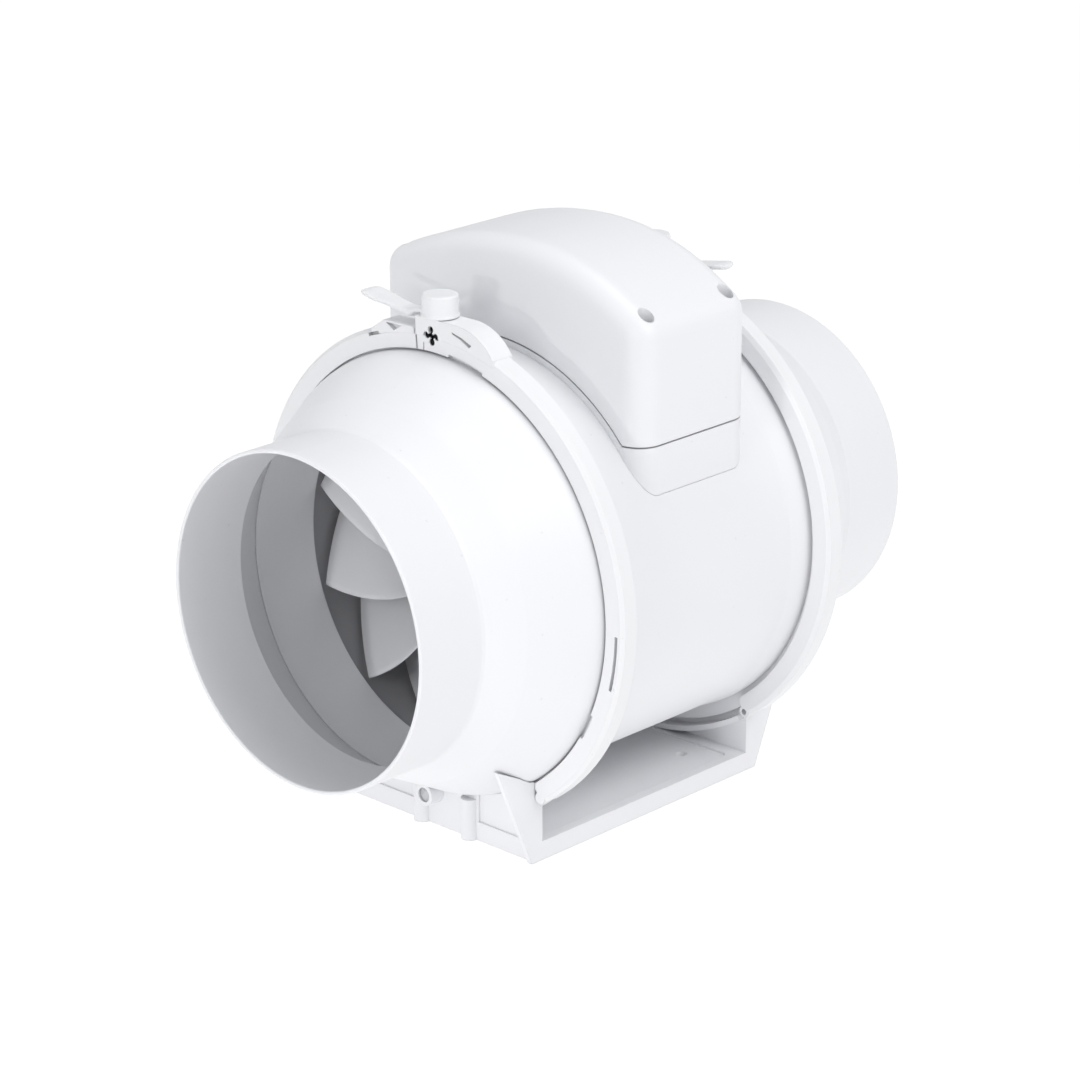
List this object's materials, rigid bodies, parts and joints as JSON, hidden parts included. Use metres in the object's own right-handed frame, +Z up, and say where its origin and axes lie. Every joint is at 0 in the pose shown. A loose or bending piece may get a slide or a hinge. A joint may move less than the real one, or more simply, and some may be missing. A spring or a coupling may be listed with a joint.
{
  "type": "inline duct fan",
  "caption": "Inline mixed-flow duct fan: round spigots, quick-release clamp rings with swivel locks, curved terminal box on top and a moulded mounting bracket below.",
  "frame": {"origin": "centre of the mounting bracket's bottom face", "axes": "+Z up from the mounting face; the duct axis runs along Y with the intake at -Y; +X to the right seen from the intake"},
  "size_m": [0.217, 0.307, 0.259],
  "materials": {
    "white_abs": "moulded satin",
    "clamp_plastic": "moulded satin",
    "impeller_plastic": "moulded satin",
    "dark_steel": "blackened",
    "steel": "zinc plated",
    "bearing_steel": "ground",
    "lamination": "laminated",
    "copper": "enamelled wire",
    "aluminium_cast": "die cast",
    "seal_rubber": "matt",
    "grey_plastic": "moulded",
    "cream_plastic": "moulded"
  },
  "bodies": {
    "fan": {"bracket": "white_abs", "bracket_screws": "steel", "capacitor": "cream_plastic", "capacitor_clip": "grey_plastic", "front_bearing": "bearing_steel", "front_hinge_pins": "steel", "guide_vanes": "impeller_plastic", "impeller_shroud": "impeller_plastic", "inlet_ring": "white_abs", "intake_cap": "white_abs", "intake_gasket": "seal_rubber", "motor_block": "white_abs", "motor_can": "aluminium_cast", "motor_front_shield": "aluminium_cast", "motor_rear_shield": "aluminium_cast", "motor_screws": "steel", "outlet_cap": "white_abs", "outlet_gasket": "seal_rubber", "rear_bearing": "bearing_steel", "rear_hinge_pins": "steel", "stator_core": "lamination", "stator_windings": "copper", "terminal_base": "white_abs", "terminal_block": "cream_plastic", "terminal_block_screws": "steel", "vane_carrier": "impeller_plastic"},
    "rotor": {"impeller_hub": "impeller_plastic", "impeller_blades": "impeller_plastic", "spinner": "impeller_plastic", "impeller_nut": "steel", "motor_shaft": "steel", "rotor_core": "lamination"},
    "front_right_arm": {"front_right_arm": "clamp_plastic", "front_lock_screw": "dark_steel"},
    "front_left_arm": {"front_left_arm": "clamp_plastic"},
    "rear_right_arm": {"rear_right_arm": "clamp_plastic"},
    "rear_left_arm": {"rear_left_arm": "clamp_plastic", "rear_lock_screw": "dark_steel"},
    "front_lever": {"front_lock_lever": "clamp_plastic"},
    "rear_lever": {"rear_lock_lever": "clamp_plastic"},
    "cover": {"terminal_cover": "white_abs", "terminal_cover_screws": "steel", "gland_body": "grey_plastic", "gland_locknut": "grey_plastic", "gland_seal": "seal_rubber"},
    "gland_nut": {"gland_nut": "grey_plastic"}
  },
  "joints": [
    {"name": "impeller_spin", "type": "hinge", "parent": "fan", "child": "rotor", "pos_m": [0, 0, 0.117], "axis": [0, 1, 0], "continuous": true},
    {"name": "front_right_arm_open", "type": "hinge", "parent": "fan", "child": "front_right_arm", "pos_m": [0.0617, -0.0667, 0.03105], "axis": [0, 1, 0], "range_deg": [0, 60]},
    {"name": "front_left_arm_open", "type": "hinge", "parent": "fan", "child": "front_left_arm", "pos_m": [-0.0617, -0.0667, 0.03105], "axis": [0, -1, 0], "range_deg": [0, 60]},
    {"name": "rear_right_arm_open", "type": "hinge", "parent": "fan", "child": "rear_right_arm", "pos_m": [0.0617, 0.0667, 0.03105], "axis": [0, 1, 0], "range_deg": [0, 60]},
    {"name": "rear_left_arm_open", "type": "hinge", "parent": "fan", "child": "rear_left_arm", "pos_m": [-0.0617, 0.0667, 0.03105], "axis": [0, -1, 0], "range_deg": [0, 60]},
    {"name": "front_lever_turn", "type": "hinge", "parent": "front_right_arm", "child": "front_lever", "pos_m": [0, -0.0667, 0.2308], "axis": [0, 0, 1], "range_deg": [0, 90]},
    {"name": "rear_lever_turn", "type": "hinge", "parent": "rear_left_arm", "child": "rear_lever", "pos_m": [0, 0.0667, 0.2308], "axis": [0, 0, 1], "range_deg": [0, 90]},
    {"name": "cover_lift", "type": "slide", "parent": "fan", "child": "cover", "axis": [0, 0, 1], "range_m": [0, 0.06]},
    {"name": "gland_nut_turn", "type": "hinge", "parent": "cover", "child": "gland_nut", "pos_m": [-0.077, 0.008, 0.207], "axis": [-1, 0, 0], "continuous": true}
  ]
}
